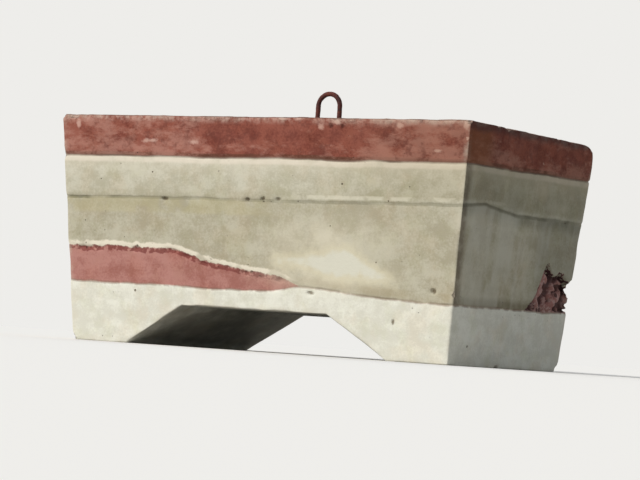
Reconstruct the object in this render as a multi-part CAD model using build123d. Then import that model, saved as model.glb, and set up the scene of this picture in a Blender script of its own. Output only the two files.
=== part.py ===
from build123d import *
import math
import os

# Precast concrete stacking block with a cast-in lifting loop, in millimetres.
# The origin is the middle of the footprint, +X runs along the block, +Z is up.

# The mould: its walls lean outwards so that the block comes out, the same lean on all four sides
base_length = 1200.0
base_width = 600.0
block_height = 620.0  # as deep as this one was filled
wall_lean = 50.0  # how far each wall moves out from the floor of the mould to its rim
top_length = base_length + 2 * wall_lean
top_width = base_width + 2 * wall_lean

# The channel through the bottom, from front to back, for forks, slings and the loop of the block below
channel_height = 110.0
channel_mouth = 830.0  # across the bottom
channel_ceiling = 460.0  # across its flat top

# Edges, as radii
edge_radius = 6.0  # every outside edge: corners, rim, soles and the channel's mouths
slump_radius = 70.0  # back edge of the top, where the last pour fell short of the mould's rim

# The lifting loop: one bar bent to an arch, its two legs cast into the concrete
bar_diameter = 14.0
loop_clearance = 3.0  # left above the loop when it stands in the channel of the block above
loop_rise = channel_height - loop_clearance  # top of the bar above the block
bend_radius = 35.0  # of the arch, to the middle of the bar
leg_depth = 260.0  # how deep the legs reach below the top face
foot_bend_radius = 30.0  # where each leg turns outwards, to the middle of the bar
foot_length = 50.0  # the straight end past that bend


def seen_from_front():
    """The outline that runs from front to back: two leaning ends, and the channel between two feet."""
    corners = [
        (base_length / 2, 0),
        (top_length / 2, block_height),
        (-top_length / 2, block_height),
        (-base_length / 2, 0),
        (-channel_mouth / 2, 0),
        (-channel_ceiling / 2, channel_height),
        (channel_ceiling / 2, channel_height),
        (channel_mouth / 2, 0),
    ]
    return Plane.XZ * Polygon(*corners, align=None)


def seen_from_end():
    """The outline that runs from end to end: leaning front and back, the back rim slumped round."""
    corners = [
        (base_width / 2, 0),
        (top_width / 2, block_height),
        (-top_width / 2, block_height),
        (-base_width / 2, 0),
    ]
    outline = Polygon(*corners, align=None)
    back_rim = outline.vertices().sort_by(Axis.Y)[-2:].sort_by(Axis.X)[-1]
    return Plane.YZ * fillet(back_rim, slump_radius)


def lies_at(edge, axis, value):
    """True for an edge that lies all along at this X, Y or Z."""
    same_place = 0.01
    box = edge.bounding_box()
    low = getattr(box.min, axis)
    high = getattr(box.max, axis)
    return abs(low - value) < same_place and abs(high - value) < same_place


def concrete_body():
    """The block without the loop's cavity: what both outlines have in common, its outside edges rounded."""
    long_way = extrude(seen_from_end(), amount=top_length, both=True)
    cross_way = extrude(seen_from_front(), amount=top_width, both=True)
    body = long_way & cross_way
    outside = []
    for edge in body.edges():
        along_block = lies_at(edge, "Y", edge.center().Y) and lies_at(edge, "Z", edge.center().Z)
        on_slump = along_block and edge.center().Z > block_height - 2 * slump_radius and edge.center().Y > 0
        in_ceiling_corner = lies_at(edge, "Z", channel_height) and lies_at(edge, "X", edge.center().X)
        if not on_slump and not in_ceiling_corner:
            outside.append(edge)
    return fillet(outside, edge_radius)


def loop_path():
    """The middle line of the bar, from one cast-in end over the arch to the other."""
    arch_z = block_height + loop_rise - bar_diameter / 2 - bend_radius
    foot_z = block_height - leg_depth
    bend_z = foot_z + foot_bend_radius
    foot_x = bend_radius + foot_bend_radius
    half_turn = foot_bend_radius * math.sin(math.radians(45))
    bars = []
    for side in (-1, 1):
        top = (side * bend_radius, 0, arch_z)
        bend = (side * bend_radius, 0, bend_z)
        halfway = (side * (foot_x - half_turn), 0, bend_z - half_turn)
        foot = (side * foot_x, 0, foot_z)
        end = (side * (foot_x + foot_length), 0, foot_z)
        bars += [Line(top, bend), ThreePointArc(bend, halfway, foot), Line(foot, end)]
    arch = ThreePointArc((-bend_radius, 0, arch_z), (0, 0, arch_z + bend_radius), (bend_radius, 0, arch_z))
    return Wire([*bars, arch])


def lifting_loop():
    """The round bar along its middle line."""
    path = loop_path()
    start = Plane(origin=path @ 0, z_dir=path % 0)
    return sweep(start * Circle(bar_diameter / 2), path=path)


loop = lifting_loop()
block = concrete_body() - loop

os.makedirs("parts", exist_ok=True)
for node, solid in {"concrete_block": block, "lifting_loop": loop}.items():
    export_step(solid, f"parts/{node}.step")
    size = solid.bounding_box().size
    print(node, "solids", len(solid.solids()), "size", size, "volume", round(solid.volume / 1e9, 5), "m3")
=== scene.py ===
# %% [markdown]
# A precast concrete block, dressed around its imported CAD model. The block was poured in five layers of
# left-over concrete of different colours, and a bent steel bar was cast into its top as a lifting loop.
# Both pieces are surfaces worked out with numpy, and every finish is a tree of procedural nodes. All
# lengths are in metres, in the frame of the CAD model: +X along the block, +Z up, the floor at zero.

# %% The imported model
import functools
import math

import bpy
import numpy as np
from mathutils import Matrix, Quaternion, Vector


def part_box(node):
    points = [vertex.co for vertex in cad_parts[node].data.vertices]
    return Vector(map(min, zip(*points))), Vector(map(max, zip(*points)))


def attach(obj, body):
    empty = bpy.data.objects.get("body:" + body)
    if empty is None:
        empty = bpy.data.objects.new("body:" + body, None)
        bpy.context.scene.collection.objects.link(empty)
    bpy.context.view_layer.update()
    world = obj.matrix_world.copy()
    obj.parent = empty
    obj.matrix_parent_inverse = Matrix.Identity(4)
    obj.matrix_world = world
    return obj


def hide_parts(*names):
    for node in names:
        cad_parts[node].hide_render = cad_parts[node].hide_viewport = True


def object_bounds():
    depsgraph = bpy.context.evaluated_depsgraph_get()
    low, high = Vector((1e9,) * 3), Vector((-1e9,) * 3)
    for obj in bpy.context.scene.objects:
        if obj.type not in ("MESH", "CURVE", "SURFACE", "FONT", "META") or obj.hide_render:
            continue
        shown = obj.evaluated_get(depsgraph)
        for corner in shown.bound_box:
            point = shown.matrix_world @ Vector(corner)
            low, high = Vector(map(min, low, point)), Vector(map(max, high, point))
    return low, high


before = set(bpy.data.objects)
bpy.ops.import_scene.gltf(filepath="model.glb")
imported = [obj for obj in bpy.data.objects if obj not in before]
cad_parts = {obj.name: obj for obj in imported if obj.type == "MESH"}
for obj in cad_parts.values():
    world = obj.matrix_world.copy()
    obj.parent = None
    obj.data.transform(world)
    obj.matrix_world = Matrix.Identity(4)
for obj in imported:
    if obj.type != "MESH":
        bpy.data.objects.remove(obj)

cad_low, cad_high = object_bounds()
print("CAD box in metres:", [round(c, 4) for c in cad_low], "to", [round(c, 4) for c in cad_high])

# %% [markdown]
# The camera stands to the right of the block's front, with its eye as high as the sole of the block, and a
# long lens fills the frame with this one block. The photograph was taken with the camera a little turned,
# so the floor line sinks to the right, and a turn about the line of sight repeats that. The quaternion of
# a direction, `to_track_quat`, aims the camera, and a second one turns it.

# %% Camera
camera_spot = Vector((4.045, -6.329, 0.024))
camera_aim = Vector((0.0, 0.0, 0.317))
camera_turn = math.radians(3.92)
lens_mm = 154.0
sensor_mm = 36.0


def make_camera():
    """A camera that looks from its spot to the aim, then turned about the line of sight."""
    lens = bpy.data.cameras.new("camera")
    lens.lens = lens_mm
    lens.sensor_width = sensor_mm
    lens.clip_start = 0.05
    lens.clip_end = 200.0
    camera = bpy.data.objects.new("camera", lens)
    bpy.context.scene.collection.objects.link(camera)
    aim = (camera_aim - camera_spot).to_track_quat("-Z", "Y")
    camera.rotation_mode = "QUATERNION"
    camera.rotation_quaternion = aim @ Quaternion((0, 0, 1), camera_turn)
    camera.location = camera_spot
    bpy.context.scene.camera = camera


make_camera()
print("Camera", round((camera_aim - camera_spot).length, 2), "m from the block, lens", lens_mm, "mm")

# %% [markdown]
# Colours are written as they show on a screen, from 0 to 255, because that is how one reads them off a
# swatch. Shaders reckon with linear light, so one function turns the first into the second: below 0.04045
# a screen value is linear light times 12.92, and above it is the power 2.4 of (value + 0.055) / 1.055.


# %% Colours
def paint(red, green, blue):
    """Linear red, green, blue and opacity of a colour that is given as screen values from 0 to 255."""
    screen = np.array((red, green, blue)) / 255
    linear = np.where(screen <= 0.04045, screen / 12.92, ((screen + 0.055) / 1.055) ** 2.4)
    return (*linear.tolist(), 1.0)


print("Mid grey, 128 on a screen, is", round(paint(128, 128, 128)[0], 3), "in linear light")

# %% [markdown]
# The studio: a pale floor, a soft light from the front left, a weak one from behind, and a pale sky. The
# block's front is in full light and its right end in soft shade, three times darker, as out of doors. The
# sky that the camera sees is paler than the sky that lights the block, which keeps the shade. A Light Path
# node tells the two apart, and mirrors and glass would see the pale one too. The floor is made in the same
# way, so one function builds the node tree of both.


# %% A tree of two shades
def add_node(tree, kind, links=None, **settings):
    """A node of a kind, with settings, and each input either linked to a socket or set to a value."""
    node = tree.nodes.new(kind)
    for key, value in settings.items():
        setattr(node, key, value)
    for key, value in (links or {}).items():
        if isinstance(value, bpy.types.NodeSocket):
            tree.links.new(value, node.inputs[key])
        else:
            node.inputs[key].default_value = value
    return node


def two_shades(holder, shader, lighting, seen, output):
    """A tree with one shader for rays that light other things, and another for rays that are seen: from
    the camera, off a mirror or through glass."""
    holder.use_nodes = True
    tree = holder.node_tree
    tree.nodes.clear()
    rays = add_node(tree, "ShaderNodeLightPath").outputs
    share = rays["Is Camera Ray"]
    for kind in ("Is Glossy Ray", "Is Transmission Ray"):
        share = add_node(tree, "ShaderNodeMath", {0: share, 1: rays[kind]}, operation="MAXIMUM").outputs[0]
    shades = [add_node(tree, shader, links).outputs[0] for links in (lighting, seen)]
    choose = add_node(tree, "ShaderNodeMixShader", {0: share, 1: shades[0], 2: shades[1]})
    add_node(tree, output, {"Surface": choose.outputs[0]})


# %% Sky
sky_seen = paint(238, 237, 234)
sky_light = paint(233, 240, 249)
sky_strength = 0.43
sky = bpy.data.worlds.new("pale_sky")
lighting_sky = {"Color": sky_light, "Strength": sky_strength}
two_shades(sky, "ShaderNodeBackground", lighting_sky, {"Color": sky_seen}, "ShaderNodeOutputWorld")
bpy.context.scene.world = sky
bpy.context.scene.view_settings.view_transform = "Standard"
print("Sky of strength", sky_strength, "with", len(sky.node_tree.nodes), "nodes")

# %% Lamps
lamp_white = (1.0, 0.985, 0.95)
key_strength = 2.78
back_strength = 0.9


def soft_light(name, towards, strength, softness_degrees):
    """A light from far away in the direction towards it, as soft as a lamp that looks this wide."""
    lamp = bpy.data.lights.new(name, "SUN")
    lamp.color = lamp_white
    lamp.energy = strength
    lamp.angle = math.radians(softness_degrees)
    holder = bpy.data.objects.new(name, lamp)
    bpy.context.scene.collection.objects.link(holder)
    holder.rotation_mode = "QUATERNION"
    holder.rotation_quaternion = Vector(towards).to_track_quat("Z", "Y")
    print(name, "of strength", strength)


soft_light("key_light", (-0.43, -0.76, 0.50), key_strength, 28.0)
soft_light("back_light", (-0.50, 0.75, 0.45), back_strength, 40.0)

# %% [markdown]
# Concrete is never smooth: its faces sag between the stiff parts of the mould, its arrises crumble and its
# free top lies in lumps. All of that starts from one function, smooth random hills. Each corner of a
# lattice of cubes gets a random number from a seeded table, and inside a cube the eight numbers are
# blended with the curve 3t² − 2t³. Added up at halved sizes, such hills look like stone.


# %% Random hills
def hills(points, size, seed):
    """Random hills between -1 and 1: a seeded number at each corner of cubes of this size, blended
    inside each cube by the product of the curves 3t^2 - 2t^3 along its three sides."""
    table = np.random.default_rng(seed).uniform(-1, 1, (32, 32, 32))
    cell = np.asarray(points) / size
    corner = np.floor(cell).astype(int)
    share = cell - corner
    share = share * share * (3 - 2 * share)
    total = np.zeros(cell.shape[:-1])
    for step in np.ndindex(2, 2, 2):
        x, y, z = np.moveaxis((corner + step) % 32, -1, 0)
        total += np.prod(np.where(step, share, 1 - share), axis=-1) * table[x, y, z]
    return total


def rough(points, size, octaves, seed):
    """Hills of this size plus hills half as large and half as high, and so on for this many octaves."""
    return sum(hills(points, size / 2**k, seed + k) / 2**k for k in range(octaves))


def rise(value, low, high):
    """0 below low, 1 above high, and the curve 3t^2 - 2t^3 between them."""
    t = np.clip((value - low) / (high - low), 0, 1)
    return t * t * (3 - 2 * t)


print("Hills at one point:", round(float(hills(np.array([0.1, 0.2, 0.3]), 0.04, 1)), 4))

# %% [markdown]
# Five pours fill the mould. Where one ended, the next began on an uneven bed, so each joint is a height
# that changes over the plan of the block. A joint is set by its line along the front, its line along the
# back and its line across the right end. In plan, front and back are blended by how far back a point lies,
# and near the right end the difference to the end's own line is added. The second pour, a red one, was
# dumped at the left rear: it is thick there, thins out along the front and comes up again at the right
# rear. Where its top lies below the first pour's, it isn't there at all.

# %% Pours
front_y = -0.30
back_y = 0.30
end_from_x = 0.40
end_x = 0.60
ripple = 0.002  # how high the joints' own unevenness is

joints = [  # of each joint the line along the front, the line along the back, the line across the right end
    (
        [(-0.59, 0.163), (-0.26, 0.163), (-0.14, 0.157), (0.06, 0.161), (0.14, 0.178), (0.23, 0.173),
         (0.35, 0.162), (0.57, 0.150)],
        [(-0.60, 0.168), (-0.25, 0.159), (0.05, 0.169), (0.30, 0.160), (0.60, 0.160)],
        [(-0.30, 0.152), (0.04, 0.154), (0.30, 0.160)],
    ),
    (
        [(-0.59, 0.261), (-0.26, 0.263), (-0.15, 0.232), (-0.02, 0.212), (0.06, 0.207), (0.13, 0.185),
         (0.24, 0.140), (0.57, 0.112)],
        [(-0.60, 0.266), (-0.35, 0.250), (-0.10, 0.236), (0.15, 0.216), (0.35, 0.228), (0.60, 0.222)],
        [(-0.30, 0.112), (0.05, 0.135), (0.09, 0.172), (0.12, 0.196), (0.145, 0.252), (0.17, 0.300),
         (0.19, 0.262), (0.22, 0.252), (0.25, 0.270), (0.30, 0.236)],
    ),
    (
        [(-0.60, 0.396), (-0.30, 0.399), (0.35, 0.403), (0.60, 0.405)],
        [(-0.60, 0.404), (-0.20, 0.392), (0.25, 0.398), (0.60, 0.408)],
        [(-0.34, 0.405), (-0.22, 0.417), (-0.04, 0.401), (0.20, 0.404), (0.30, 0.408)],
    ),
    (
        [(-0.60, 0.508), (0.02, 0.511), (0.60, 0.510)],
        [(-0.60, 0.510), (0.00, 0.504), (0.60, 0.522)],
        [(-0.34, 0.511), (0.02, 0.517), (0.33, 0.523)],
    ),
]


def along(line, place, softness):
    """Height of a line of (place, height) points, its corners softened: the mean of the straight
    interpolation at five places this far apart."""
    places, heights = np.array(line).T
    steps = softness * np.array([-2, -1, 0, 1, 2])
    return sum(np.interp(place + step, places, heights) for step in steps) / len(steps)


def joint_height(number, x, y):
    """Height of the joint above pour number 1 to 4 over the plan: front and back lines blended by depth,
    plus, near the right end, what the end's own line differs from that blend, plus a ripple."""
    front, back, end = joints[number - 1]
    depth = rise(y, front_y, back_y)
    height = (1 - depth) * along(front, x, 0.012) + depth * along(back, x, 0.02)
    blend_at_end = (1 - depth) * front[-1][1] + depth * back[-1][1]
    near_end = rise(x, end_from_x, end_x)
    height = height + near_end * (along(end, y, 0.006) - blend_at_end)
    plan = np.stack([x, y, np.full_like(x, 0.1 * number)], axis=-1)
    return height + ripple * rough(plan, 0.09, 2, 40 + number)


print("Joints over the middle of the block:", [
    round(float(joint_height(number, np.array(0.0), np.array(0.0))), 3) for number in (1, 2, 3, 4)])

# %% [markdown]
# The body is a box of grid points, bent into shape. Three parameters place a point: its column along the
# block, how far back it lies, and its row upwards. Columns start on the underside, which steps up over the
# fork channel, and lean outwards with the mould. Rows are counted from joint to joint, so that grid lines
# follow the pours and stand closer together beside each joint and each arris, where the relief is finest.

# %% Sizes of the mould
base_length = 1.200
base_width = 0.600
wall_lean = 0.050
block_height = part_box("concrete_block")[1].z
channel_height = 0.110
channel_mouth = 0.830
channel_ceiling = 0.460
print("Block height from the CAD:", round(block_height, 4))

foot_steps = 26
slope_steps = 26
ceiling_steps = 38  # to the middle of the channel
back_steps = 100
row_steps = [16, 30, 20, 16, 18]  # from the underside over joints 1 to 4 to the top


# %% Grid of the body
def spread(count, crowd=0.6):
    """count + 1 numbers from 0 to 1, closer together at both ends: a straight ramp blended with half a
    cosine wave, crowd being the share of the wave."""
    t = np.linspace(0, 1, count + 1)
    return (1 - crowd) * t + crowd * (0.5 - 0.5 * np.cos(np.pi * t))


def underside(x):
    """Height of the underside at x: zero under the feet, a slope, and the channel's flat ceiling."""
    return np.interp(np.abs(x), [channel_ceiling / 2, channel_mouth / 2], [channel_height, 0])


def column_places():
    """x of each column where it leaves the underside. The outer columns crowd towards the end wall."""
    foot = (base_length - channel_mouth) / 2
    slope = (channel_mouth - channel_ceiling) / 2
    left = np.concatenate([
        -base_length / 2 + foot * np.linspace(0, 1, foot_steps + 1) ** 1.35,
        -channel_mouth / 2 + slope * np.linspace(0, 1, slope_steps + 1)[1:],
        -channel_ceiling / 2 * (1 - np.linspace(0, 1, ceiling_steps + 1)[1:]),
    ])
    return np.concatenate([left, -left[-2::-1]])


columns = column_places()
depths = 2 * spread(back_steps) - 1
row_pours = np.append(np.repeat(np.arange(len(row_steps)), row_steps), len(row_steps) - 1)
row_shares = np.concatenate([spread(steps, 0.7)[:-1] for steps in row_steps] + [[1.0]])
print(len(columns), "columns,", len(depths), "steps back,", len(row_shares), "rows")


# %% Surface of the grid
def quads(numbers):
    """Four-sided faces between the neighbours in a sheet of point numbers."""
    around = [numbers[:-1, :-1], numbers[1:, :-1], numbers[1:, 1:], numbers[:-1, 1:]]
    return np.stack(around, axis=-1).reshape(-1, 4)


def six_faces():
    """The grid's outer points as (column, depth, row) numbers, and four-sided faces between them that
    point outwards. A point that two faces share gets one number, from its place in the whole grid."""
    c, d, r = (np.arange(len(n)) for n in (columns, depths, row_shares))
    one = np.newaxis

    def numbers(column, depth, row):
        return (column * len(d) + depth) * len(r) + row

    front = numbers(c[:, one], 0, r[one, :])
    back = numbers(c[:, one], d[-1], r[one, :])[::-1]
    left = numbers(0, d[:, one], r[one, :])[::-1]
    right = numbers(c[-1], d[:, one], r[one, :])
    bottom = numbers(c[:, one], d[one, :], 0)[::-1]
    top = numbers(c[:, one], d[one, :], r[-1])
    sheets = [quads(sheet) for sheet in (front, back, left, right, bottom, top)]
    used, faces = np.unique(np.concatenate(sheets), return_inverse=True)
    column, rest = np.divmod(used, len(d) * len(r))
    depth, row = np.divmod(rest, len(r))
    return column, depth, row, faces.reshape(-1, 4)


grid_column, grid_depth, grid_row, block_faces = six_faces()
print(len(grid_column), "points and", 2 * len(block_faces), "triangles in the body")

# %% [markdown]
# Now the bending. A column rises in a straight line from the underside to its place at the rim, 50 mm
# further out on every side. Its heights run from joint to joint. The first and second joints may cross,
# where the red pour isn't there, so rows keep at least 25 mm between them.

# %% Walls that lean
least_pour = 0.025


def half_length(z):
    """Half of the block's length at a height: the walls lean outwards evenly."""
    return base_length / 2 + wall_lean * z / block_height


def half_width(z):
    """Half of the block's width at a height."""
    return base_width / 2 + wall_lean * z / block_height


def lattice():
    """Points of the sharp-edged body: x, y and z of every grid point on its outside."""
    x_bottom = columns[grid_column]
    x_top = x_bottom * half_length(block_height) / half_length(0)
    z_bottom = underside(x_bottom)
    plan_y = depths[grid_depth] * half_width(block_height / 2)
    levels = [z_bottom]
    for number in (1, 2, 3, 4):
        joint = joint_height(number, (x_bottom + x_top) / 2, plan_y)
        levels.append(np.maximum(joint, levels[-1] + least_pour))
    levels.append(np.full_like(z_bottom, block_height))
    levels = np.stack(levels)
    pour = row_pours[grid_row]
    each = np.arange(len(pour))
    z = levels[pour, each] + row_shares[grid_row] * (levels[pour + 1, each] - levels[pour, each])
    x = x_bottom + (x_top - x_bottom) * (z - z_bottom) / (block_height - z_bottom)
    y = depths[grid_depth] * half_width(z)
    return np.stack([x, y, z], axis=-1), z_bottom


sharp, z_under = lattice()
print("Sharp body from", sharp.min(0).round(3), "to", sharp.max(0).round(3))

# %% [markdown]
# Real arrises aren't sharp. The mould's corners are filled with a small radius, and years of forks and
# slings wear some stretches rounder than others. A point within one radius of two walls moves inwards, off
# the corner and onto a round of that radius, and the radius itself wanders along the edge. At the back of
# the top the last pour never reached the rim: it slumped to a round of 70 mm. There the square corner of
# the section is mapped to a quarter of a disc, by shrinking each square around its centre to a circle.

# %% Rounds and the slump
edge_radius = 0.006
edge_wear = 0.005  # how much the edges' radius wanders
radius_limits = 0.0035, 0.014
slump_radius = 0.070
slump_wander = 0.12  # share of the radius that it wanders by


def round_edges(points):
    """Points moved off the sharp edges: each one's shortfalls from the walls, up to one radius, form a
    vector, and what that vector is longer than the radius is taken off it, inwards."""
    x, y, z = points.T
    radius = np.clip(edge_radius + edge_wear * rough(points, 0.07, 3, 3), *radius_limits)
    ex = np.maximum(0, radius - (half_length(z) - np.abs(x)))
    ey = np.maximum(0, radius - (half_width(z) - np.abs(y)))
    top_gap = block_height - z
    bottom_gap = z - z_under
    ez = np.maximum(0, radius - np.minimum(top_gap, bottom_gap))
    upper = top_gap < bottom_gap
    slumped = (y > 0) & upper
    ey, ez = np.where(slumped & (ey < ez), 0, ey), np.where(slumped & (ez <= ey), 0, ez)
    length = np.sqrt(ex**2 + ey**2 + ez**2)
    pull = np.where(length > radius, 1 - radius / np.maximum(length, 1e-9), 0)
    inwards = np.stack([-np.sign(x) * ex, -np.sign(y) * ey, np.where(upper, -ez, ez)], axis=-1)
    return points + inwards * pull[:, None]


def slump(points):
    """Points of the section's rear top corner mapped from the square of one radius to a quarter disc:
    each is drawn towards the corner's centre by its larger part over its length."""
    x, y, z = points.T
    upright = y * half_width(block_height) / half_width(z)
    radius = slump_radius * (1 + slump_wander * hills(np.stack([x, 0 * x, 0 * x], axis=-1), 0.16, 8))
    a = (upright - half_width(block_height)) / radius + 1
    b = (z - block_height) / radius + 1
    inside = (a > 0) & (b > 0)
    shrink = np.where(inside, np.maximum(a, b) / np.maximum(np.hypot(a, b), 1e-9), 1)
    z = np.where(inside, block_height + radius * (b * shrink - 1), z)
    upright = np.where(inside, half_width(block_height) + radius * (a * shrink - 1), upright)
    return np.stack([x, upright * half_width(z) / half_width(block_height), z], axis=-1)


rounded = slump(round_edges(sharp))
print("Arrises moved points by up to", round(1000 * np.linalg.norm(rounded - sharp, axis=1).max(), 1), "mm")

# %% [markdown]
# Where the edge was knocked, a shell-shaped flake is gone. Each flake is a ball laid over the edge so that
# it reaches a few millimetres into the concrete: points inside the ball are pushed out to its surface,
# which leaves a hollow with a crisp rim. A few flakes have their place on this block, and the rest are
# strewn along the arrises by a seeded draw.

# %% Flakes
placed_flakes = [  # where on the edge, outward direction, radius, depth
    ((-0.648, -0.348, 0.614), (-1.0, -1.0, 1.0), 0.026, 0.007),
    ((-0.604, -0.349, 0.616), (0.0, -0.8, 1.0), 0.026, 0.005),
    ((0.648, -0.348, 0.616), (1.0, -1.0, 1.0), 0.022, 0.006),
    ((0.621, 0.321, 0.228), (0.8, 1.0, 0.0), 0.034, 0.021),
    ((-0.600, -0.300, 0.004), (-1.0, -1.0, -0.6), 0.040, 0.010),
    ((0.600, 0.300, 0.004), (1.0, 1.0, -0.8), 0.040, 0.012),
    ((0.330, 0.302, 0.048), (0.0, 1.0, -1.0), 0.034, 0.008),
]
strewn_flakes = 26
flake_radii = 0.014, 0.034
flake_depths = 0.004, 0.008


def strew_flakes():
    """Flakes at random places along the four uprights, the rim and the soles' outer edges."""
    draw = np.random.default_rng(21)
    flakes = []
    for _ in range(strewn_flakes):
        side_x, side_y = draw.choice([-1, 1], 2)
        kind = draw.integers(4)
        z = draw.uniform(0.05, 0.55) if kind == 0 else (block_height if kind < 3 else 0.0)
        x = side_x * half_length(z)
        y = side_y * half_width(z)
        if kind == 0:
            out = (side_x, side_y, 0)
        elif kind == 1 and side_y < 0:
            x = draw.uniform(-0.6, 0.6)
            out = (0, side_y, 1)
        elif kind < 3:
            y = draw.uniform(-0.3, 0.22)
            out = (side_x, 0, 1)
        else:
            y = draw.uniform(-0.28, 0.28)
            out = (side_x, 0, -1)
        flakes.append(((x, y, z), out, draw.uniform(*flake_radii), draw.uniform(*flake_depths)))
    return flakes


def knock_off(points, flakes):
    """Points pushed out of each flake's ball, straight away from its centre. The ball's radius wanders
    a little with random hills, so that the hollow is as coarse as broken concrete."""
    coarse = 1 + 0.10 * rough(points, 0.012, 2, 31)
    for place, out, radius, depth in flakes:
        out = np.array(out) / np.linalg.norm(out)
        centre = np.array(place) + out * (radius - depth)
        away = points - centre
        far = np.linalg.norm(away, axis=1)
        reach = radius * coarse
        factor = np.where(far < reach, reach / np.maximum(far, 1e-9), 1)
        centre_side = (away @ out) < 0.6 * radius
        points = np.where(((far < reach) & centre_side)[:, None], centre + away * factor[:, None], points)
    return points


chipped = knock_off(rounded, placed_flakes + strew_flakes())
flaked = np.linalg.norm(chipped - rounded, axis=1)
print(int((flaked > 0.001).sum()), "points lie in flakes, the deepest", round(1000 * flaked.max(), 1), "mm")

# %% [markdown]
# The finer relief moves each point along the surface's own outward direction, its normal. A face's normal
# is the cross product of its diagonals, and a point's is the sum of its faces'. Into the relief go the
# gentle sag of the mould's plates, a small step where each pour meets the next with a groove in the joint,
# the open hollows of the red pour at the right rear, and the lumpy free top.


# %% Normals
def outward(points, faces):
    """Unit normals at the points: the cross products of the faces' diagonals, summed at their corners."""
    a, b, c, d = (points[faces[:, k]] for k in range(4))
    across = np.cross(c - a, d - b)
    total = np.zeros_like(points)
    for k in range(4):
        for axis in range(3):
            total[:, axis] += np.bincount(faces[:, k], across[:, axis], len(points))
    return total / np.maximum(np.linalg.norm(total, axis=1, keepdims=True), 1e-12)


normals = outward(chipped, block_faces)
print("Normals up on top:", round(float(normals[grid_row == len(row_shares) - 1, 2].mean()), 3))

# %% Where each point lies
x, y, z = chipped.T
above = [z - joint_height(number, x, y) for number in (1, 2, 3, 4)]
on_front = y < -0.2
free_top = rise(normals[:, 2], 0.35, 0.8) * rise(z, 0.5, 0.55)
wall = 1 - rise(np.abs(normals[:, 2]), 0.3, 0.8)
rim_gap = np.minimum(half_length(z) - np.abs(x), y + half_width(z))
red_lens = rise(above[0], 0.0, 0.006) * (1 - rise(above[1], -0.006, 0.002))
in_channel = rise(z_under, 0.002, 0.02) * rise(-normals[:, 2], 0.3, 0.8)
print("Red pour shows on", int((red_lens > 0.5).sum()), "points")

# %% Relief of the walls
groove_depths = 0.0016, 0.0016, 0.0014, 0.0034  # of joints 1 to 4
lens_pit_depth = 0.0055
dent_depth = 0.0035
lens_sunk = 0.0009
hollow_sunk = 0.002
hollow_depth = 0.018


def joint_groove(number, distance, seed):
    """A groove along a joint, in metres: its depth times a bell curve of the distance to it, 3 mm wide,
    that comes and goes with random hills."""
    comes_and_goes = rise(hills(chipped, 0.06, seed), -0.5, 0.3)
    return groove_depths[number - 1] * (np.exp(-((distance / 0.003) ** 2)) * comes_and_goes)


placed_pits = [  # on the front: x and height, half width and half height
    (-0.294, 0.396, 0.014, 0.006),
    (-0.025, 0.402, 0.011, 0.006),
    (0.023, 0.404, 0.010, 0.007),
    (0.071, 0.405, 0.013, 0.006),
    (0.180, 0.163, 0.014, 0.007),
    (0.551, 0.184, 0.010, 0.010),
    (0.435, 0.101, 0.007, 0.012),
    (0.232, 0.598, 0.008, 0.008),
    (0.268, 0.597, 0.007, 0.008),
]


def front_dents():
    """How far each placed pit dents the front, 0 to 1: fully in its middle and not at all outside."""
    total = np.zeros_like(x)
    for across, height, half_across, half_up in placed_pits:
        far = np.hypot((x - across) / half_across, (z - height) / half_up)
        total = np.maximum(total, 1 - rise(far, 0.3, 1.2))
    return total * on_front


def honeycomb():
    """Where the red pour is hollow, 0 to 1: at the right rear, on the end wall and round the rear arris.
    And how deep its pits are there: hills of two pebble sizes, cut off at their middle."""
    spot = rise(x + 0.020 * rough(chipped, 0.045, 3, 66), 0.575, 0.600) * rise(y, 0.03, 0.09)
    coarse = rise(rough(chipped, 0.028, 3, 60), -0.15, 0.35)
    fine = rise(hills(chipped, 0.013, 64), 0.0, 0.5)
    return spot, np.maximum(coarse, 0.55 * fine)


hollow_area, pits = honeycomb()
hollow = hollow_area * red_lens
lens_pits = np.exp(-(((above[1] + 0.006) / 0.006) ** 2)) * rise(above[0], 0.01, 0.02)
lens_pits *= rise(hills(chipped, 0.017, 70), 0.15, 0.6)
steps = 0.0007 * rise(above[3], -0.001, 0.001) + 0.0006 * rise(above[2], -0.001, 0.001)
steps -= lens_sunk * red_lens
sag = 0.0011 * rough(chipped, 0.30, 2, 50) + 0.0004 * rough(chipped, 0.045, 2, 54) - 0.0014
grooves = joint_groove(4, above[3] - 0.001, 81) + joint_groove(3, above[2], 82)
grooves += joint_groove(1, above[0], 83) + joint_groove(2, above[1], 84) * rise(above[0], 0, 0.01)
wall_relief = sag + steps - grooves - lens_pit_depth * lens_pits
wall_relief -= hollow * (hollow_sunk + hollow_depth * pits)
wall_relief -= dent_depth * front_dents()
print("Deepest hollow of the honeycomb:", round(-1000 * float(wall_relief.min()), 1), "mm")

# %% Relief of the top
leg_x = 0.035  # of the loop's legs, on both sides of the middle
collar_height = 0.006


def loop_collars():
    """Mortar that rose around the loop's two legs: bell curves of the distance to each leg, added."""
    return sum(np.exp(-(((x - side * leg_x) ** 2 + y**2) / 0.022**2)) for side in (-1, 1))


def board_marks():
    """Low ridges that the levelling board left: hills five times longer along the block than across."""
    return rough(chipped * np.array([0.2, 1.0, 1.0]), 0.055, 2, 101)


inner = rise(rim_gap, 0.0, 0.07)
swells = 0.0050 * rough(chipped, 0.24, 2, 90) + 0.0016 * board_marks()
lumps = 0.0060 * np.abs(rough(chipped, 0.045, 3, 94)) - 0.0022
stones_up = 0.0045 * rise(hills(chipped, 0.022, 97), 0.35, 0.70)
top_relief = (0.15 + 0.85 * inner) * (swells + lumps + stones_up - 0.0024)
top_relief += collar_height * loop_collars()

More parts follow.
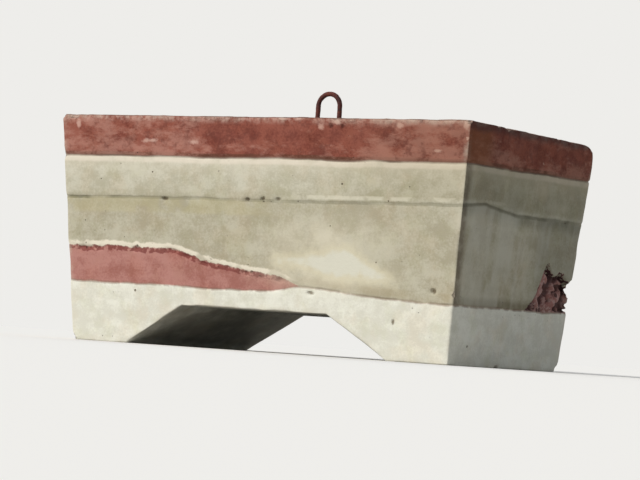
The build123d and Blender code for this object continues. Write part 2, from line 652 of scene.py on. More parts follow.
relief = wall * wall_relief + free_top * top_relief - 0.0006 * in_channel
block_points = chipped + normals * relief[:, None]
block_points = np.clip(block_points, [cad_low.x, cad_low.y, 0], [cad_high.x, cad_high.y, cad_high.z])
print("Lowest point of the free top:", block_points[free_top > 0.9, 2].min().round(4))

# %% [markdown]
# A Blender mesh takes the points and faces as lists. Next to them go point attributes, numbers that the
# shader reads by name: the distance above each joint, and masks that say where the free top, the
# honeycomb, the channel, the worn arrises, the ends and the back, darkened by grime and painted shade, and
# the pale patch are. They follow the surface, so the layers stay joined round every corner.


# %% From arrays to a piece
def make_piece(name, points, faces, masks=None):
    """A smooth-shaded mesh object at the origin from an array of points and a list of faces, with each
    mask stored as a point attribute of its name."""
    mesh = bpy.data.meshes.new(name)
    mesh.from_pydata(points.tolist(), [], faces)
    mesh.polygons.foreach_set("use_smooth", np.ones(len(faces), bool))
    for mask_name, values in (masks or {}).items():
        attribute = mesh.attributes.new(mask_name, "FLOAT", "POINT")
        attribute.data.foreach_set("value", np.asarray(values, np.float32))
    mesh.update()
    piece = bpy.data.objects.new(name, mesh)
    bpy.context.scene.collection.objects.link(piece)
    return piece


def patch_depth():
    """How far inside the pale patch a point of the front lies, in metres, and below zero outside it. The
    patch is shaped like a fin, between an upper and a lower line over x."""
    upper = np.interp(x, [0.06, 0.16, 0.21, 0.25, 0.28, 0.31, 0.36, 0.42],
                      [0.249, 0.254, 0.262, 0.275, 0.278, 0.270, 0.238, 0.206])
    lower = np.interp(x, [0.06, 0.16, 0.22, 0.27, 0.34, 0.42], [0.243, 0.234, 0.218, 0.210, 0.213, 0.204])
    depth = np.minimum(np.minimum(upper - z, z - lower), 0.5 * np.minimum(x - 0.09, 0.40 - x))
    return np.where(on_front, np.clip(depth, -0.1, 0.1), -0.1)


def cream_cloud():
    """Cream that washed around the patch: a bell curve in x and z, wider than high, and a paler one
    above it."""
    around = np.exp(-(((x - 0.23) / 0.16) ** 2) - ((z - 0.220) / 0.042) ** 2)
    above_it = np.exp(-(((x - 0.23) / 0.18) ** 2) - ((z - 0.305) / 0.055) ** 2)
    return np.maximum(around, 0.7 * above_it) * on_front


def dusty_band():
    """How dusty the red top is along the block: pale at the left, clean and red from the middle on, and
    pale again at the right end."""
    return 1 - rise(x, -0.24, -0.10) + 1.4 * rise(x, 0.26, 0.40)


on_ends = rise(np.abs(normals[:, 0]), 0.5, 0.9)
edge_x = half_length(z) - np.abs(x)
edge_y = half_width(z) - np.abs(y)
edge_z = np.minimum(block_height - z, z - z_under)
arris_gap = np.sort(np.stack([edge_x, edge_y, edge_z]), axis=0)[1]
masks = {f"above_{number}": distance for number, distance in enumerate(above, 1)}
masks |= {
    "free_top": free_top,
    "top_height": free_top * top_relief,
    "loop_stain": free_top * np.exp(-((x / 0.09) ** 2) - (y / 0.06) ** 2),
    "hollow_area": hollow_area,
    "hollow_pits": pits,
    "channel": in_channel,
    "arris": 1 - rise(arris_gap, 0.004, 0.020),
    "flaked": rise(flaked, 0.0005, 0.002) * (1 - rise(hollow_area, 0.1, 0.5)),
    # the ends and the back, where grime and painted shade darken the walls and weather marks go
    "weathered": on_ends + 0.6 * rise(normals[:, 1], 0.5, 0.9),
    "patch_depth": patch_depth(),
    "cream_cloud": cream_cloud(),
    "dusty": dusty_band() * (1 - 0.6 * on_ends),
    "rusty_corner": rise(normals[:, 0], 0.5, 0.9) * (1 - rise(y, -0.26, -0.19)),
    "end_strip": on_ends * (1 - rise(edge_y, 0.012, 0.042)) * (y < 0),
    "rear_shade": on_ends * rise(y, 0.03, 0.16),
}
concrete = make_piece("cast_concrete", block_points, block_faces.tolist(), masks)
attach(concrete, "root")
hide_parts("concrete_block")
print("Concrete piece with", len(masks), "masks")

# %% [markdown]
# A finish is a tree of nodes, and most of its nodes come in a few kinds. A small class keeps the tree and
# the colour so far, and gives each kind a short name, so that a finish reads as a recipe. Sizes are real
# ones: a noise of size 0.02 has spots about 20 mm across. A share from 0 to 1 says how much of a colour
# shows, and where there are several shares, they are multiplied.


# %% Short names for nodes
class Finish:
    """One material's node tree, with a method for each kind of node that the recipes use."""

    def __init__(self, name):
        self.material = bpy.data.materials.new(name)
        self.material.use_nodes = True
        self.tree = self.material.node_tree
        self.tree.nodes.clear()
        self.add = functools.partial(add_node, self.tree)
        self.place = self.add("ShaderNodeTexCoord").outputs["Object"]
        sides = self.add("ShaderNodeSeparateXYZ", {"Vector": self.place}).outputs
        self.along, self.up = sides["X"], sides["Z"]
        self.colour = None  # laid so far
        self.over = []  # distances above joints 1 to 4, made ragged

    def mask(self, name):
        """A point attribute of the mesh."""
        return self.add("ShaderNodeAttribute", attribute_name=name).outputs["Fac"]

    def stretched(self, flat, up):
        """Object coordinates times one factor in plan and one upwards: below 1 draws a pattern out."""
        links = {"Vector": self.place, "Scale": (flat, flat, up)}
        return self.add("ShaderNodeMapping", links).outputs[0]

    def noise(self, size, detail=4.0, roughness=0.6, at=None, shift=0.0):
        """Cloudy noise between 0 and 1 with spots of this size; shift picks another piece of it."""
        links = {"Vector": at or self.place, "W": shift, "Scale": 1 / size, "Detail": detail}
        links["Roughness"] = roughness
        return self.add("ShaderNodeTexNoise", links, noise_dimensions="4D").outputs["Fac"]

    def cells(self, size):
        """A lattice of random cells: metres to the nearest cell's point, and that cell's random number."""
        node = self.add("ShaderNodeTexVoronoi", {"Vector": self.place, "Scale": 1 / size})
        number = self.add("ShaderNodeSeparateColor", {"Color": node.outputs["Color"]}).outputs[0]
        return self.times(node.outputs["Distance"], size), number

    def math(self, operation, *values):
        """Arithmetic on sockets or numbers."""
        return self.add("ShaderNodeMath", dict(enumerate(values)), operation=operation).outputs[0]

    def times(self, *factors):
        """The product of several values."""
        return functools.reduce(lambda a, b: self.math("MULTIPLY", a, b), factors)

    def most(self, *values):
        """The largest of several values."""
        return functools.reduce(lambda a, b: self.math("MAXIMUM", a, b), values)

    def plus(self, start, *parts):
        """The start plus the sum of the parts, each a value and the factor that it counts with."""
        for value, factor in parts:
            start = self.math("MULTIPLY_ADD", value, factor, start)
        return start

    def torn(self, distance, reach, *noise, shift):
        """A distance that is made ragged: noise around zero, times this reach, is added to it."""
        return self.plus(distance, (self.math("SUBTRACT", self.noise(*noise, shift=shift), 0.5), reach))

    def ramp(self, value, low, high, start=0.0, end=1.0):
        """Start below low, end above high, smooth between. A value in quotes is a mask's name."""
        value = self.mask(value) if isinstance(value, str) else value
        links = {"Value": value, "From Min": low, "From Max": high, "To Min": start, "To Max": end}
        return self.add("ShaderNodeMapRange", links, interpolation_type="SMOOTHSTEP").outputs[0]

    def spot(self, centre, half_size, ragged):
        """1 at a place and 0 outside an ellipsoid around it, with a rim made ragged by this noise."""
        shift = [-place / half for place, half in zip(centre, half_size)]
        links = {"Vector": self.place, "Scale": [1 / half for half in half_size], "Location": shift}
        moved = self.add("ShaderNodeMapping", links).outputs[0]
        far = self.add("ShaderNodeVectorMath", {0: moved}, operation="LENGTH").outputs["Value"]
        return self.ramp(self.plus(far, (ragged, 2.0)), 1.25, 2.0, 1.0, 0.0)

    def mix(self, below, above, *shares, blend="MIX"):
        """One colour laid over another."""
        links = {0: self.times(*shares), 6: below, 7: above}
        return self.add("ShaderNodeMix", links, data_type="RGBA", blend_type=blend).outputs[2]

    def lay(self, colour, *shares):
        """Lays this colour over the colour so far."""
        self.colour = self.mix(self.colour, colour, *shares)

    def tint(self, colour, *shares):
        """Multiplies the colour so far by this colour."""
        self.colour = self.mix(self.colour, colour, *shares, blend="MULTIPLY")

    def finish(self, roughness, height, specular):
        """The shader itself: the colour, a roughness and a height in metres that its bump follows."""
        bump = self.add("ShaderNodeBump", {"Strength": 1.0, "Distance": 1.0, "Height": height})
        links = {"Base Color": self.colour, "Roughness": roughness, "Normal": bump.outputs[0]}
        links["Specular IOR Level"] = specular
        shader = self.add("ShaderNodeBsdfPrincipled", links)
        self.add("ShaderNodeOutputMaterial", {"Surface": shader.outputs[0]})
        return self.material


# %% [markdown]
# First the colours of the five pours. Each one is two tones of its own mix, clouded over hand-sized
# patches, with sand-fine grain on top. The edge of a pour is ragged: noise is added to the distance above
# its joint before a sharp ramp cuts it. The khaki pour's lower edge is torn most, because it came down on
# the dry lumps of the red lens.

# %% Colours of the pours
first_pour = paint(233, 231, 217), paint(217, 214, 199)
later_pours = [  # two tones, and how far, in what spots and how softly the joint under it is torn
    (paint(181, 129, 119), paint(158, 102, 92), 0.008, 0.030, 0.0030),  # the red lens
    (paint(191, 185, 164), paint(170, 162, 139), 0.020, 0.024, 0.0014),  # khaki
    (paint(205, 200, 181), paint(183, 177, 155), 0.008, 0.050, 0.0070),  # light
    (paint(145, 83, 68), paint(114, 57, 46), 0.004, 0.030, 0.0008),  # the red top
]


def pour_colours(f):
    """The layers from the bottom up, each laid over the last above its own ragged joint. The tone adds
    clouds of three sizes and one drawn out along the pours, and two slow tints make patches of it warmer
    or greener."""
    drawn = f.noise(0.035, at=f.stretched(0.18, 1.0), shift=7.0)
    tone = f.plus(0.0, (f.noise(0.16, 5.0), 0.32), (drawn, 0.20))
    tone = f.plus(tone, (f.noise(0.034, shift=2.0), 0.28), (f.noise(0.006, 3.0, shift=3.0), 0.20))
    tone = f.ramp(tone, 0.43, 0.57)
    f.colour = f.mix(*first_pour, tone)
    for number, (bright, dark, reach, size, softness) in enumerate(later_pours):
        if number == 1:
            reach = f.plus(reach, (f.mask("hollow_area"), 0.04))
        f.over.append(f.torn(f.mask(f"above_{number + 1}"), reach, size, 3.0, shift=10.0 + number))
        edge = f.math("MINIMUM", *f.over) if number == 1 else f.over[-1]
        f.lay(f.mix(bright, dark, tone), f.ramp(edge, -softness, softness))
    f.tint(paint(255, 240, 226), f.ramp(f.noise(0.075, shift=5.0), 0.46, 0.66, 0.0, 0.28))
    f.tint(paint(238, 240, 222), f.ramp(f.noise(0.060, shift=6.0), 0.46, 0.66, 0.0, 0.32))


# %% [markdown]
# Then what lies in and along the joints. Cement paste settled out of the wet mix in a cream line on top of
# the red lens and right under the red top layer. A thin dark line marks each joint where air was caught,
# and at the foot of the red top layer the dark line is also painted shade under its edge. Soft bands
# beside the joints are yellower, duller or darker. Each is a line between two distances from a joint.


# %% Lines along the joints
def on_lens(f):
    """Where the red lens is thick enough to show."""
    return f.ramp("above_1", 0.012, 0.030)


def on_wall(f):
    """Everywhere but on the free top."""
    return f.ramp("free_top", 0.2, 0.8, 1.0, 0.0)


def line(f, distance, low, high, fade, size, shift, least=0.0):
    """A line between two distances from a joint, fading at both sides. It comes and goes along the joint,
    down to the least share."""
    lower = f.ramp(distance, low - fade, low)
    upper = f.ramp(distance, high, high + fade, 1.0, 0.0)
    return f.times(lower, upper, f.ramp(f.noise(size, 2.0, 0.5, shift=shift), 0.38, 0.50, least))


def joint_lines(f):
    """Cream, dark and soft lines along the joints, each one laid over those before it. The dark line at the
    foot of the red top layer is partly painted shade.
    """
    first, second, third, fourth = f.over
    cream = line(f, second, 0.0015, 0.010, 0.006, 0.06, 20.0, 0.40)
    f.lay(paint(238, 228, 208), cream, on_lens(f), f.ramp("hollow_area", 0.0, 0.3, 1.0, 0.0), 0.85)
    settled = f.ramp("above_4", -0.065, -0.006, 0.0, 0.32)
    f.lay(paint(226, 217, 197), settled, f.ramp(fourth, -0.001, 0.002, 1.0, 0.0))
    f.lay(paint(232, 220, 202), line(f, fourth, -0.012, -0.003, 0.009, 0.07, 21.0, 0.55), 0.68)
    # dark line at the foot of the red top layer: dirt in its joint and painted shade under its edge
    f.lay(paint(92, 58, 42), line(f, fourth, -0.0010, 0.0085, 0.0040, 0.20, 22.0, 0.55), 0.78)
    thin = line(f, third, -0.0045, 0.0010, 0.0030, 0.10, 23.0, 0.35)
    f.lay(paint(108, 104, 82), thin, f.ramp(f.along, -0.52, -0.38, 0.85, 0.42))
    yellow = line(f, third, -0.036, -0.008, 0.012, 0.07, 28.0)
    f.lay(paint(184, 174, 134), yellow, 0.40, f.ramp(f.along, -0.05, 0.10, 1.0, 0.0))
    clean = f.ramp("weathered", 0.0, 1.0, 1.0, 0.0)  # everywhere but on the ends and the back
    duller = f.times(f.ramp(third, 0.0, 0.045, 0.24, 0.0), f.ramp(third, -0.002, 0.001))
    f.tint(paint(206, 200, 184), duller, clean)
    to_right = f.times(f.ramp(f.along, 0.05, 0.22), clean)
    pale = f.times(line(f, third, 0.008, 0.014, 0.004, 0.045, 26.0), to_right)
    chalk = f.spot((0.634, -0.155, 0.424), (0.05, 0.075, 0.007), f.noise(0.012, 3.0, shift=63.0))
    f.lay(paint(226, 220, 200), f.most(pale, chalk), 0.55)
    f.lay(paint(112, 46, 42), line(f, second, -0.012, -0.001, 0.003, 0.016, 24.0), on_lens(f), 0.75)
    f.lay(paint(168, 152, 120), line(f, first, 0.012, 0.022, 0.012, 0.15, 27.0), to_right, 0.40)
    darkening = f.times(line(f, first, 0.004, 0.010, 0.022, 0.12, 38.0, 0.3), f.mask("weathered"))
    f.tint(paint(176, 170, 156), darkening, f.ramp(first, 0.0, 0.003), 0.8)
    low = line(f, first, -0.002, 0.003, 0.003, 0.04, 25.0)
    f.lay(paint(128, 108, 92), low, f.ramp("weathered", 0.0, 1.0, 0.42, 0.60))


# %% [markdown]
# Blowholes are air bubbles that stuck to the mould, from pin pricks to holes of 10 mm. A lattice of random
# cells gives each cell one chance of a hole: its random number sets the radius, and most come out below
# zero, so there is no hole. A hole is deep, and painted dark with its dirt and its shade. Larger pits
# gather along the joints, and a few have their own place on the front, the same ones that dent the mesh.

# %% Blowholes
hole_rim = 0.0012  # the width over which a hole's rim fades


def holes(f, size, chance, largest, ragged=0.0):
    """Share of each point that lies in a round hole: 1 where the distance to the cell's point is under a
    radius that the cell's random number sets, from none up to the largest. Noise makes it ragged."""
    gap, number = f.cells(size)
    radius = f.times(f.ramp(number, 1 - chance, 1.0), largest)
    if ragged:
        gap = f.torn(gap, 2 * ragged * largest, largest, 3.0, shift=33.0)
    return f.ramp(f.math("SUBTRACT", radius, gap), 0.0, hole_rim)


def near(f, distance, reach):
    """1 at a joint, falling to 0 at this distance above or below it."""
    return f.ramp(f.math("ABSOLUTE", distance), 0.3 * reach, reach, 1.0, 0.0)


def front_marks(f, marks):
    """Marks that have their place on the front, each an ellipsoid through the wall: x and height of the
    middle, half width and half height."""
    ragged = f.noise(0.014, 4.0, 0.65, shift=60.0)
    spots = [f.spot((across, -half_width(height), height), (half_across, 0.03, half_up), ragged)
             for across, height, half_across, half_up in marks]
    return f.most(*spots)


def all_holes(f):
    """Fine pores all over, a few larger blowholes, pits along joints 3 and 2, and the placed ones."""
    joint_pits = f.times(holes(f, 0.030, 0.50, 0.0050), near(f, f.over[2], 0.009))
    lens_pits = f.times(holes(f, 0.022, 0.8, 0.0080), near(f, f.over[1], 0.012), on_lens(f))
    fine = holes(f, 0.017, 0.35, 0.0022), holes(f, 0.055, 0.28, 0.0040)
    return f.most(*fine, joint_pits, lens_pits, front_marks(f, placed_pits))


# %% [markdown]
# Weather comes last, and painted shade with it. The red top is smeared with dusty pink and specked with
# cream, and its front rim is pale with crumbs that also stand for a painted highlight. Rain ran down the
# ends and left upright streaks of grey, and grime with painted shade darkens the ends and the back. The
# channel is dark with painted shade and damp, flaked spots show fresh coarse concrete, and the arrises
# are rubbed pale. Under the rim of the ends and the back, a dark line is partly damp and partly painted
# shade, and the free top itself is dull with dust and dirt in its hollows.

# %% Weather of the red top layer
cream_specks = [  # on the front of the red top layer: x and height, half width and half height
    (0.555, 0.540, 0.014, 0.007),
    (0.202, 0.595, 0.012, 0.012),
    (0.250, 0.610, 0.016, 0.008),
    (0.441, 0.604, 0.014, 0.010),
    (-0.591, 0.592, 0.010, 0.018),
    (0.636, 0.606, 0.009, 0.012),
    (-0.198, 0.549, 0.024, 0.010),
    (-0.348, 0.552, 0.032, 0.008),
    (0.081, 0.616, 0.014, 0.006),
    (0.133, 0.617, 0.016, 0.006),
]


def band_marks(f):
    """Pink smears, dark blotches and cream specks on the red top layer, most of them near its rim, and
    along the front rim pale crumbs that are partly a painted highlight.
    """
    band = f.ramp("above_4", 0.001, 0.004)
    clouds = f.noise(0.045, 6.0, 0.74, at=f.stretched(0.6, 1.4), shift=30.0)
    low_half = f.ramp("above_4", 0.020, 0.055, 1.0, 0.0)
    smear = f.ramp(f.plus(clouds, (low_half, 0.07), (f.mask("dusty"), 0.11)), 0.53, 0.72)
    f.lay(paint(190, 140, 124), smear, band, 0.50)
    f.lay(paint(102, 52, 42), f.ramp(f.noise(0.030, 3.0, shift=31.0), 0.54, 0.68), band, 0.55)
    # pale crumbs along the front rim, partly a painted highlight on the arris
    crumbs_and_highlight = f.ramp(f.noise(0.020, 4.0, 0.7, shift=32.0), 0.42, 0.60, 0.0, 0.5)
    rim = f.times(f.ramp("above_4", 0.086, 0.104), on_wall(f))
    f.lay(paint(206, 164, 150), crumbs_and_highlight, rim, f.ramp("weathered", 0.0, 0.6, 1.0, 0.0))
    f.lay(paint(138, 86, 52), f.mask("rusty_corner"), band, 0.55)
    f.lay(paint(222, 188, 172), holes(f, 0.040, 0.22, 0.0060, 0.8), band, on_wall(f), 0.60)
    f.lay(paint(224, 186, 170), front_marks(f, cream_specks), 0.55)


def rim_line(f):
    """A dark line right under the rim of the ends and the back, partly damp and partly painted shade, with
    a spot of painted shade in the chip at the front corner.
    """
    # the ragged height of the dark line under the rim, which is damp and painted shade
    ragged_height = f.plus(f.mask("above_4"), (f.noise(0.060, shift=34.0), 0.024))
    darkening = f.times(f.ramp(ragged_height, 0.088, 0.106), on_wall(f))
    # painted shade in the hollow of the chip at the front corner
    corner = f.spot((0.648, -0.316, 0.606), (0.03, 0.026, 0.014), f.noise(0.014, 4.0, 0.65, shift=64.0))
    f.lay(paint(60, 27, 25), f.most(darkening, corner), f.mask("weathered"), 0.72)


def top_dirt(f):
    """The free top: pale dust on what stands high and in slow clouds, dark dirt in what lies low, a few
    bare stones, and rust washed off the loop around its legs."""
    top = f.ramp(f.torn(f.mask("free_top"), 1.6, 0.060, 5.0, 0.65, shift=37.0), 0.25, 0.95)
    f.lay(paint(150, 122, 108), f.ramp(f.noise(0.012, 4.0, 0.7, shift=35.0), 0.30, 0.62, 0.15, 0.50), top)
    height = f.mask("top_height")
    high = f.plus(height, (f.noise(0.20, shift=45.0), 0.012))
    f.lay(paint(182, 154, 140), f.ramp(high, 0.004, 0.011, 0.0, 0.50), top)
    sunk = f.plus(height, (f.noise(0.05, 4.0, 0.65, shift=48.0), 0.010))
    f.lay(paint(86, 66, 56), f.ramp(sunk, 0.001, 0.006, 0.60, 0.0), top)
    f.lay(paint(172, 156, 138), holes(f, 0.034, 0.50, 0.0100, 0.8), top, 0.35)
    around_legs = f.ramp(f.noise(0.03, shift=49.0), 0.35, 0.65)
    f.lay(paint(112, 58, 34), f.mask("loop_stain"), around_legs, 0.65)


# %% Weather and painted shade of the walls
def end_grime_and_shade(f):
    """Grime and painted shade on the ends and the back: strong on the fourth pour, weak on the red and
    khaki ones, none on the first, in soft upright streaks. Khaki is darker with painted shade and grime
    right under the third joint and at the rear of the end, and washed paler in streaks, and a strip of the
    end beside the front arris is darker."""
    # a grey that stands for grime and for painted shade on the ends and the back
    grime_and_shade = paint(146, 152, 148)
    second, third = f.over[1:3]
    ends = f.mask("weathered")
    above_first = f.ramp("above_1", -0.010, 0.012)
    share_by_pour = f.times(f.ramp("above_4", -0.002, 0.002, 1.0, 0.12), above_first)
    wide = f.noise(0.13, 3.0, at=f.stretched(1.0, 0.35), shift=40.0)
    narrow = f.noise(0.045, 3.0, at=f.stretched(1.0, 0.12), shift=36.0)
    streaks = f.plus(0.0, (wide, 0.65), (narrow, 0.35))
    # the film: grime and painted shade that darken the ends and the back, most on the fourth pour
    fourth = f.ramp("above_3", -0.010, 0.015, 0.08, 0.38)
    amount = f.times(fourth, f.ramp("above_3", 0.030, 0.095, 1.0, 0.70), share_by_pour)
    f.tint(grime_and_shade, amount, f.ramp(streaks, 0.38, 0.62, 0.70, 1.30), ends)
    # a darker band right under the third joint: painted shade and grime
    under = f.times(f.ramp(third, -0.046, -0.006), f.ramp(third, 0.0, 0.008, 1.0, 0.0))
    f.tint(grime_and_shade, under, f.ramp(f.noise(0.10, 3.0, shift=29.0), 0.35, 0.60, 0.30, 0.62), ends)
    on_khaki = f.times(f.ramp(second, -0.004, 0.006), f.ramp(third, -0.010, 0.0, 1.0, 0.0), above_first)
    f.lay(paint(206, 203, 188), f.ramp(streaks, 0.44, 0.56, 0.0, 0.40), ends, on_khaki)
    # painted shade on the rear half of the end's khaki
    f.tint(grime_and_shade, f.mask("rear_shade"), on_khaki, 0.36)
    patchy = f.ramp(f.noise(0.03, 3.0, 0.55, shift=46.0), 0.35, 0.6, 0.35, 0.75)
    f.tint(paint(150, 136, 128), f.mask("end_strip"), patchy, share_by_pour)


def pale_patch(f):
    """Cream that washed over the front around the pale patch, and the patch itself with its soft rim."""
    washed = f.ramp(f.noise(0.05, shift=47.0), 0.3, 0.6, 0.3, 0.8)
    f.lay(paint(222, 213, 190), f.mask("cream_cloud"), washed)
    depth = f.torn(f.mask("patch_depth"), 0.040, 0.024, shift=41.0)
    f.lay(paint(220, 211, 182), f.ramp(depth, -0.030, -0.004, 0.0, 0.55))
    f.lay(paint(217, 214, 198), f.ramp(depth, -0.008, 0.010, 0.0, 0.85))


def hollow_share(f):
    """The part of the right rear that lies between the ragged edges of the red pour."""
    inside = f.times(f.ramp(f.over[0], 0.0, 0.002), f.ramp(f.over[1], -0.001, 0.001, 1.0, 0.0))
    return f.times(inside, f.ramp("hollow_area", 0.10, 0.35))


def honeycomb_shade(f, hollow, gaps):
    """The hollow red concrete: pinkish paste on the stones, and painted shade in the hollows, a dark red
    edge under the pour above and nearly black gaps between the stones.
    """
    grit = f.noise(0.012, 3.0, 0.65, shift=61.0)
    f.lay(paint(194, 160, 152), hollow, f.ramp(grit, 0.46, 0.60, 0.20, 0.80))
    f.lay(paint(74, 34, 36), hollow, f.ramp(f.over[1], -0.022, -0.004, 0.15, 0.85))
    # painted shadow in the deepest pits of the honeycomb
    shadow = f.plus(f.mask("hollow_pits"), (f.noise(0.008, 3.0, shift=62.0), 0.9))
    f.lay(paint(46, 24, 26), hollow, f.most(gaps, f.ramp(shadow, 0.65, 1.25)), 0.75)


def channel_shade_and_wear(f):
    """The channel darkened with painted shade and damp, the arrises that are rubbed pale, and fresh coarse
    concrete in the flakes.
    """
    # painted shade, with some damp, in patches over the fork channel
    darkening = f.ramp(f.noise(0.09, shift=42.0), 0.3, 0.6, 0.35, 0.65)
    f.lay(paint(84, 78, 66), f.mask("channel"), darkening)
    rub = f.ramp(f.noise(0.040, 5.0, 0.65, shift=43.0), 0.40, 0.65, 0.0, 0.35)
    f.lay(paint(214, 205, 186), rub, f.ramp("end_strip", 0.0, 1.0, 1.0, 0.2), f.mask("arris"))
    fresh = f.mix(paint(160, 138, 122), paint(214, 196, 178), f.noise(0.008, 3.0, shift=44.0))
    f.lay(fresh, f.mask("flaked"), 0.45)


# %% [markdown]
# The bump carries what is finer than the mesh: sand grain, the skin of the cement, the depth of the holes
# and, on the free top and in the honeycomb, coarse stones. Every height is in metres, so the Bump node's
# own distance stays at 1.


# %% The concrete finish
def fine_relief(f, hole_share, gaps):
    """Height in metres: grain and skin everywhere, holes down, stones on the free top and in hollows."""
    stones = f.times(f.noise(0.013, 4.0, 0.62, shift=52.0), 0.0075)
    bare = f.most(f.mask("free_top"), gaps, f.mask("flaked"))
    grain = f.plus(0.0, (f.noise(0.0022, 2.0, shift=50.0), 0.0005), (f.noise(0.020, shift=51.0), 0.0011))
    return f.plus(grain, (stones, bare), (gaps, -0.0040), (hole_share, -0.0020))


def concrete_finish():
    """The whole recipe, from the pours to the weather and the painted shade. Above the third joint the
    walls are a little browner to the right."""
    f = Finish("layered_concrete")
    pour_colours(f)
    joint_lines(f)
    band_marks(f)
    hole_share = all_holes(f)
    # holes painted darker, for the dirt and the painted shade in them, less so on the red top
    f.tint(paint(112, 96, 76), hole_share, f.ramp("above_4", -0.002, 0.002, 0.80, 0.55))
    end_grime_and_shade(f)
    f.tint(paint(226, 222, 212), f.ramp(f.along, 0.0, 0.60), f.ramp("above_3", 0.0, 0.02), 0.8)
    pale_patch(f)
    hollow = hollow_share(f)
    # gaps between the honeycomb's stones, painted nearly black as shadow and sunk by the bump
    gaps = f.times(holes(f, 0.017, 0.9, 0.0080, 0.5), hollow)
    honeycomb_shade(f, hollow, gaps)
    channel_shade_and_wear(f)
    rim_line(f)
    top_dirt(f)
    roughness = f.ramp(f.noise(0.05, 3.0, 0.5, shift=53.0), 0.3, 0.7, 0.78, 0.95)
    return f.finish(roughness, fine_relief(f, hole_share, gaps), 0.25)


concrete.data.materials.append(concrete_finish())
print("Concrete finish has", len(concrete.data.materials[0].node_tree.nodes), "nodes")

# %% [markdown]
# The lifting loop is one round bar, bent cold. Its middle line is made of straight runs and circular arcs,
# given as a function of the length run along it, and the bar's skin is a circle carried along that line.
# The bar lies in one upright plane, so each ring needs only the line's direction in that plane. Rust has
# lifted the skin in flakes, which are random hills again.

# %% Middle line of the loop
bar_radius = 0.007
bend_radius = leg_x
foot_bend = 0.030
foot_run = 0.050
foot_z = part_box("lifting_loop")[0].z + bar_radius
arch_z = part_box("lifting_loop")[1].z - bar_radius - bend_radius
bar_rings, bar_sides = 560, 28


def bar_line(count):
    """Points and directions along the bar: a foot, a quarter bend, a leg, half a circle, and the same
    back. Each stretch turns by so many quarter turns over a known length, so the direction is a running
    sum of the turns and the points are a running sum of the direction."""
    leg = arch_z - (foot_z + foot_bend)
    quarter = foot_bend * math.pi / 2
    lengths = [foot_run, quarter, leg, bend_radius * math.pi, leg, quarter, foot_run]
    quarter_turns = np.array([0, 1, 0, -2, 0, 1, 0])
    ends = np.concatenate([[0], np.cumsum(lengths)])
    angles = np.concatenate([[0], np.cumsum(quarter_turns * math.pi / 2)])
    run = np.linspace(0, ends[-1], count)
    step = run[1]
    angle = np.interp(run, ends, angles)
    middle = (angle[1:] + angle[:-1]) / 2
    x = np.concatenate([[0], np.cumsum(np.cos(middle)) * step])
    z = np.concatenate([[0], np.cumsum(np.sin(middle)) * step])
    return x - x[-1] / 2, z + foot_z, angle


print("Top of the bar's middle line at", round(bar_line(bar_rings)[1].max(), 4))


# %% Skin of the loop
def bar_skin(rings, around):
    """A circle carried along the middle line: the ring's point at angle a is the line's point plus the
    radius times cos a along the in-plane normal and sin a across, closed by a small ring at each end."""
    x, z, angle = bar_line(rings)
    turn = np.linspace(0, 2 * np.pi, around, endpoint=False)
    normal = np.stack([-np.sin(angle), 0 * angle, np.cos(angle)], axis=-1)
    across = np.array([0.0, 1.0, 0.0])
    ring = normal[:, None] * np.cos(turn)[None, :, None] + across * np.sin(turn)[None, :, None]
    centre = np.stack([x, 0 * x, z], axis=-1)[:, None]
    thin = centre + bar_radius * ring
    crust = 0.0005 * rough(thin, 0.012, 3, 120) + 0.00025 * rough(thin, 0.003, 2, 124) - 0.0004
    return (centre + (bar_radius + np.minimum(crust, 0))[..., None] * ring).reshape(-1, 3)


def tube_faces(rings, around):
    """Four-sided faces between neighbouring rings, the last point of each ring next to its first, and
    one face with a corner at each point of the two end rings, all of them pointing outwards."""
    numbers = np.arange(rings * around).reshape(rings, around)
    sides = quads(np.hstack([numbers, numbers[:, :1]]))
    return sides.tolist() + [numbers[0].tolist(), numbers[-1, ::-1].tolist()]


bar_points = bar_skin(bar_rings, bar_sides)
loop = make_piece("rusty_loop", bar_points, tube_faces(bar_rings, bar_sides))
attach(loop, "root")
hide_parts("lifting_loop")
print("Loop skin from", bar_points.min(0).round(4), "to", bar_points.max(0).round(4))

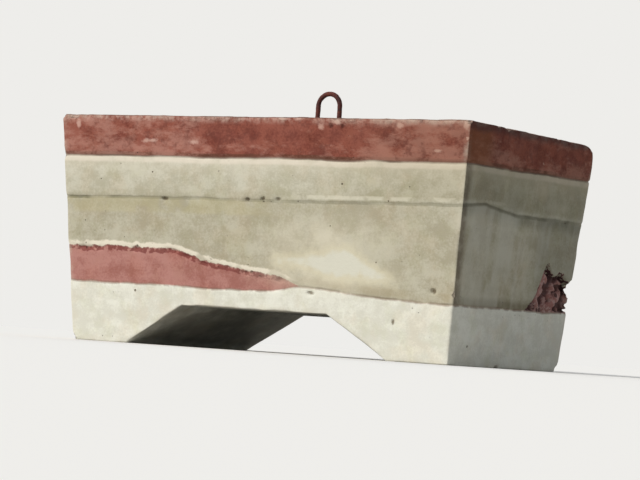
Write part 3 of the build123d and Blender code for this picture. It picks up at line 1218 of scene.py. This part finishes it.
# %% [markdown]
# Old mill scale and rust: a dark maroon crust with orange powder where it has flaked, and a grey splash of
# cement on the legs near the top of the block. The crust is matt and coarse, so most of its look is bump.


# %% The rust finish
def rust_finish():
    """Dark crust, orange powder in clouds, cement dust low on the legs, and a flaky bump."""
    f = Finish("old_rust")
    flakes = f.noise(0.0045, 4.0, 0.65, shift=2.0)
    f.colour = f.mix(paint(62, 32, 30), paint(98, 50, 42), f.ramp(f.noise(0.022, 5.0, 0.65), 0.35, 0.65))
    in_clouds = f.ramp(f.noise(0.03, 3.0, 0.55, shift=4.0), 0.45, 0.6)
    f.lay(paint(142, 78, 46), f.ramp(flakes, 0.52, 0.66), in_clouds, 0.7)
    low = f.ramp(f.up, block_height + 0.006, block_height + 0.030, 1.0, 0.0)
    f.lay(paint(150, 138, 122), low, f.ramp(f.noise(0.007, 3.0, 0.55, shift=6.0), 0.45, 0.60), 0.8)
    height = f.plus(0.0, (f.noise(0.0012, 2.0, 0.55, shift=8.0), 0.0003), (flakes, 0.0009))
    return f.finish(f.ramp(flakes, 0.35, 0.65, 0.72, 0.92), height, 0.35)


loop.data.materials.append(rust_finish())
print("Rust finish has", len(loop.data.materials[0].node_tree.nodes), "nodes")

# %% [markdown]
# The floor is a wide pale sheet, a stage and not part of the object. It is so wide that its edge lies on
# the horizon from every side. Seen by the camera it is nearly white, and for the light that it throws back
# on the block it is a middle grey, so the block's shaded end stays in shade.

# %% Floor
floor_reach = 90.0
floor_seen = paint(248, 245, 240)
floor_bounce = paint(184, 182, 178)


def make_floor():
    """A flat square grid at height zero, matt in both of its shades."""
    places = np.linspace(-floor_reach, floor_reach, 9)
    x, y = np.meshgrid(places, places, indexing="ij")
    points = np.stack([x, y, 0 * x], axis=-1).reshape(-1, 3)
    floor = make_piece("floor", points, quads(np.arange(x.size).reshape(x.shape)).tolist())
    matt = bpy.data.materials.new("pale_floor")
    shades = {"Color": floor_bounce}, {"Color": floor_seen}
    two_shades(matt, "ShaderNodeBsdfDiffuse", *shades, "ShaderNodeOutputMaterial")
    floor.data.materials.append(matt)
    return floor


make_floor()
print("Floor reaches", floor_reach, "m each way")
